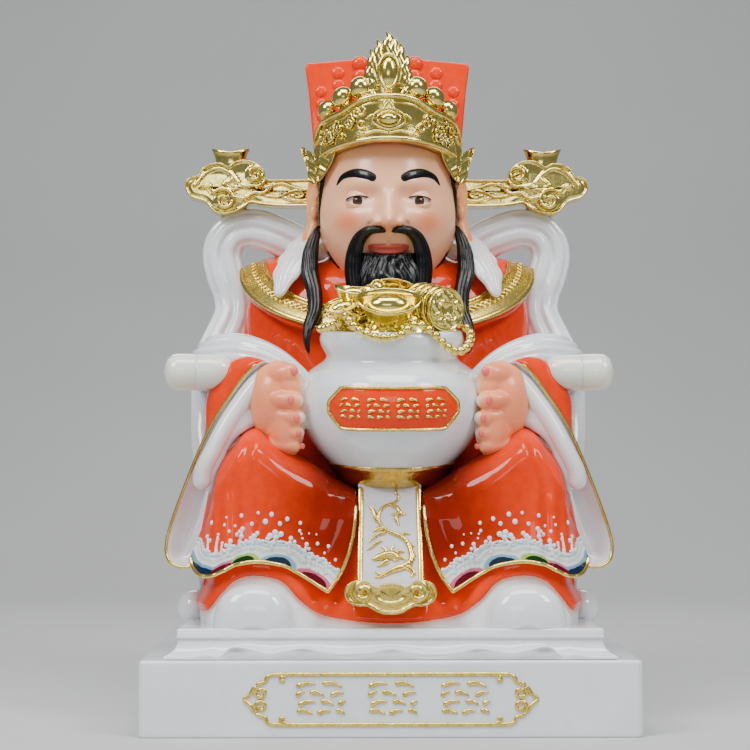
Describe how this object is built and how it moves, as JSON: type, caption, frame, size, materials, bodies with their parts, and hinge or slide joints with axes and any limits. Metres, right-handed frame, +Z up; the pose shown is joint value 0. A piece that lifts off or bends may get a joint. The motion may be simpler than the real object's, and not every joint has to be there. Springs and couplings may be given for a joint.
{
  "type": "seated wealth god figure",
  "caption": "Seated god of wealth in an armchair, a treasure pot on the lap, crowned hat with side wings, on a rectangular plinth; a display ornament.",
  "frame": {"origin": "centre of the plinth's underside", "axes": "+Z up, -Y the way the figure faces, +X to its left, which is the viewer's right"},
  "size_m": [0.29, 0.2152, 0.4261],
  "materials": {
    "white_marble_resin": "polished marble-powder resin under clear glaze, slightly translucent",
    "orange_glaze": "orange-red paint under thick clear gloss",
    "gilding": "bright gold foil paint, polished",
    "gold_plating": "mirror-bright gold plating",
    "skin_paint": "airbrushed flesh colour, satin",
    "black_lacquer": "gloss black paint with fine grey strands",
    "wave_paint": "painted wave border in white, pale blue, navy, green and crimson under clear gloss"
  },
  "bodies": {
    "root": {"plinth": "white_marble_resin", "seated_figure": "orange_glaze", "treasure_heap": "gold_plating"}
  },
  "joints": []
}
